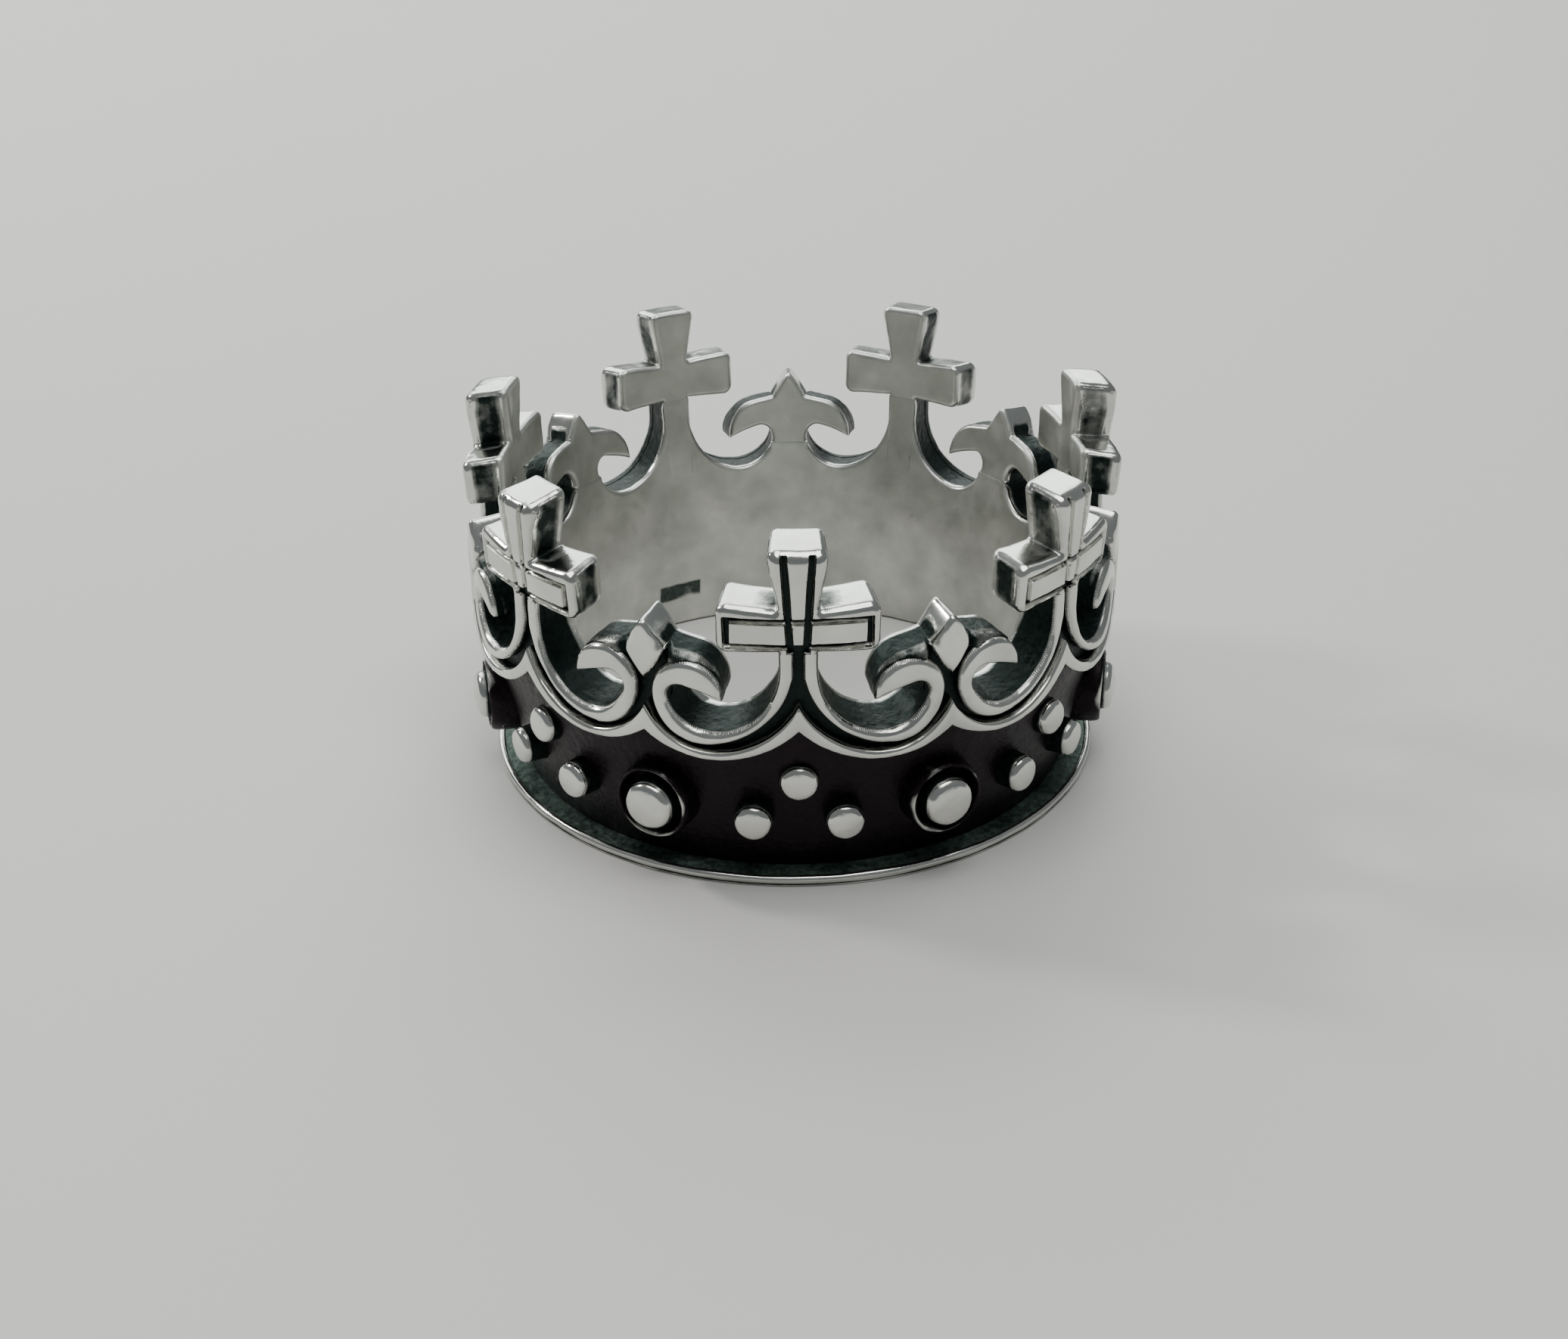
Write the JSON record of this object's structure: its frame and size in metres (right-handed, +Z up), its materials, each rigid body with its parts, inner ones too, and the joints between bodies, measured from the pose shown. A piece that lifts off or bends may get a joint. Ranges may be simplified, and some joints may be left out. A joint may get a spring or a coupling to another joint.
{
  "type": "crown ring",
  "caption": "Finger ring in the form of a crown: studded oxidised silver band, pierced gallery of scrolls, crosses and fleurs-de-lis, ledge at the foot.",
  "frame": {"origin": "on the finger axis, in the plane of the face that the ring stands on", "axes": "+Z up the finger axis towards the crosses; -Y from the axis towards cross_1; +X to the right of cross_1 seen from outside"},
  "size_m": [0.0234, 0.0236, 0.013],
  "materials": {
    "band_silver": "sterling silver, satin inside, oxidised nearly black outside",
    "oxidised_silver": "sterling silver, oxidised, rough",
    "polished_silver": "sterling silver, polished high points with dark recesses"
  },
  "bodies": {
    "root": {"band": "band_silver", "base_flange": "oxidised_silver", "cross_1": "polished_silver", "cross_2": "polished_silver", "cross_3": "polished_silver", "cross_4": "polished_silver", "cross_5": "polished_silver", "cross_6": "polished_silver", "cross_7": "polished_silver", "edge_wire": "polished_silver", "fleur_1": "polished_silver", "fleur_2": "polished_silver", "fleur_3": "polished_silver", "fleur_4": "polished_silver", "fleur_5": "polished_silver", "fleur_6": "polished_silver", "fleur_7": "polished_silver", "large_studs": "polished_silver", "left_scroll_1": "polished_silver", "left_scroll_2": "polished_silver", "left_scroll_3": "polished_silver", "left_scroll_4": "polished_silver", "left_scroll_5": "polished_silver", "left_scroll_6": "polished_silver", "left_scroll_7": "polished_silver", "right_scroll_1": "polished_silver", "right_scroll_2": "polished_silver", "right_scroll_3": "polished_silver", "right_scroll_4": "polished_silver", "right_scroll_5": "polished_silver", "right_scroll_6": "polished_silver", "right_scroll_7": "polished_silver", "scalloped_border": "polished_silver", "small_studs": "polished_silver", "stud_collars": "polished_silver"}
  },
  "joints": []
}
